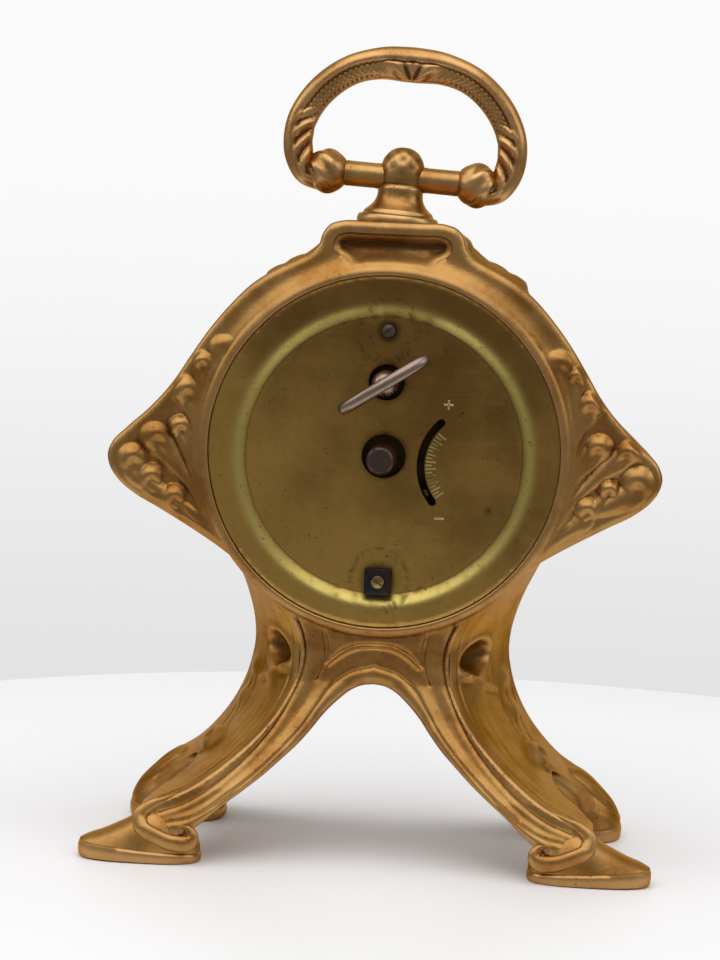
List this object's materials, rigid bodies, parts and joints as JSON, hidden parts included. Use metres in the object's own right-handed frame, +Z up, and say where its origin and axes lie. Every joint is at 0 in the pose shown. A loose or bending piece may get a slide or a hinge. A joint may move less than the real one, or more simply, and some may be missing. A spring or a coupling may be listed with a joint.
{
  "type": "table clock",
  "caption": "Small gilt table clock on splayed feet with a winged case, a swinging bail handle and a key-wound balance movement behind a dished brass cover.",
  "frame": {"origin": "on the table, under the middle of the four feet", "axes": "+Z up, the dial faces -Y, the winding and setting side faces +Y, +X is to the left seen from the winding side"},
  "size_m": [0.089, 0.05, 0.1289],
  "materials": {
    "gilt": "satin gilding worn to brown in the hollows",
    "cover_brass": "tarnished sheet",
    "brass": "satin",
    "steel": "polished, worn",
    "blued": "dark blued",
    "dial": "eggshell",
    "glass": "clear"
  },
  "bodies": {
    "case": {"rear_casting": "gilt", "front_casting": "gilt", "handle_post": "gilt", "back_cover": "cover_brass", "clamp_studs": "brass", "square_nut": "blued", "front_plate": "brass", "rear_plate": "brass", "plate_pillars": "brass", "pillar_nuts": "steel", "balance_screws": "steel", "mainspring": "steel", "hairspring": "steel", "dial": "dial", "bezel": "gilt", "glass": "glass"},
    "handle": {"handle_bail": "gilt", "handle_rod": "gilt"},
    "winding": {"winding_arbor": "steel", "winding_key": "steel", "ratchet_wheel": "brass"},
    "great": {"great_wheel": "brass", "click": "steel", "click_spring": "steel"},
    "centre": {"centre_wheel": "brass", "centre_pinion": "steel"},
    "third": {"third_wheel": "brass", "third_pinion": "steel"},
    "fourth": {"fourth_wheel": "brass", "fourth_pinion": "steel"},
    "escape": {"escape_wheel": "brass", "escape_pinion": "steel"},
    "lever": {"pallet_lever": "steel"},
    "balance": {"balance_wheel": "brass", "balance_staff": "steel"},
    "regulating": {"regulator": "brass"},
    "minute": {"centre_arbor": "steel", "set_knob": "steel", "cannon_pinion": "brass", "minute_hand": "blued"},
    "motion": {"minute_wheel": "brass"},
    "hour": {"hour_wheel": "brass", "hour_hand": "blued"}
  },
  "joints": [
    {"name": "handle_swing", "type": "hinge", "parent": "case", "child": "handle", "pos_m": [-0.00042, -0.0015, 0.10759], "axis": [0.9983, 0, 0.0576], "range_deg": [-115, 115]},
    {"name": "key_wind", "type": "hinge", "parent": "case", "child": "winding", "pos_m": [0, 0, 0.0753], "axis": [0, 1, 0], "continuous": true, "deforming": ["mainspring"]},
    {"name": "fourth_turn", "type": "hinge", "parent": "case", "child": "fourth", "pos_m": [0.00245, 0, 0.05187], "axis": [0, 1, 0], "continuous": true},
    {"name": "great_turn", "type": "hinge", "parent": "case", "child": "great", "pos_m": [0, 0, 0.0753], "axis": [0, 1, 0], "continuous": true},
    {"name": "centre_turn", "type": "hinge", "parent": "case", "child": "centre", "pos_m": [0, 0, 0.0637], "axis": [0, 1, 0], "continuous": true},
    {"name": "third_turn", "type": "hinge", "parent": "case", "child": "third", "pos_m": [0.0078, 0, 0.05824], "axis": [0, 1, 0], "continuous": true},
    {"name": "escape_turn", "type": "hinge", "parent": "case", "child": "escape", "pos_m": [-0.00472, 0, 0.05313], "axis": [0, 1, 0], "continuous": true},
    {"name": "lever_rock", "type": "hinge", "parent": "case", "child": "lever", "pos_m": [-0.0088, 0, 0.05694], "axis": [0, 1, 0], "range_deg": [-4, 4]},
    {"name": "balance_swing", "type": "hinge", "parent": "case", "child": "balance", "pos_m": [-0.0149, 0, 0.0626], "axis": [0, 1, 0], "range_deg": [-140, 140], "deforming": ["hairspring"]},
    {"name": "regulator_set", "type": "hinge", "parent": "case", "child": "regulating", "pos_m": [-0.0149, 0, 0.0626], "axis": [0, 1, 0], "range_deg": [-72, 8]},
    {"name": "hand_set", "type": "hinge", "parent": "case", "child": "minute", "pos_m": [0, 0, 0.0637], "axis": [0, 1, 0], "continuous": true},
    {"name": "motion_turn", "type": "hinge", "parent": "case", "child": "motion", "pos_m": [0, 0, 0.0577], "axis": [0, 1, 0], "continuous": true},
    {"name": "hour_turn", "type": "hinge", "parent": "case", "child": "hour", "pos_m": [0, 0, 0.0637], "axis": [0, 1, 0], "continuous": true}
  ],
  "couplings": [
    {"joint": "third_turn", "follows": "fourth_turn", "ratio": -0.14286},
    {"joint": "centre_turn", "follows": "fourth_turn", "ratio": 0.019048},
    {"joint": "great_turn", "follows": "fourth_turn", "ratio": -0.0025397},
    {"joint": "escape_turn", "follows": "fourth_turn", "ratio": -6},
    {"joint": "motion_turn", "follows": "hand_set", "ratio": -0.33333},
    {"joint": "hour_turn", "follows": "hand_set", "ratio": 0.083333}
  ]
}
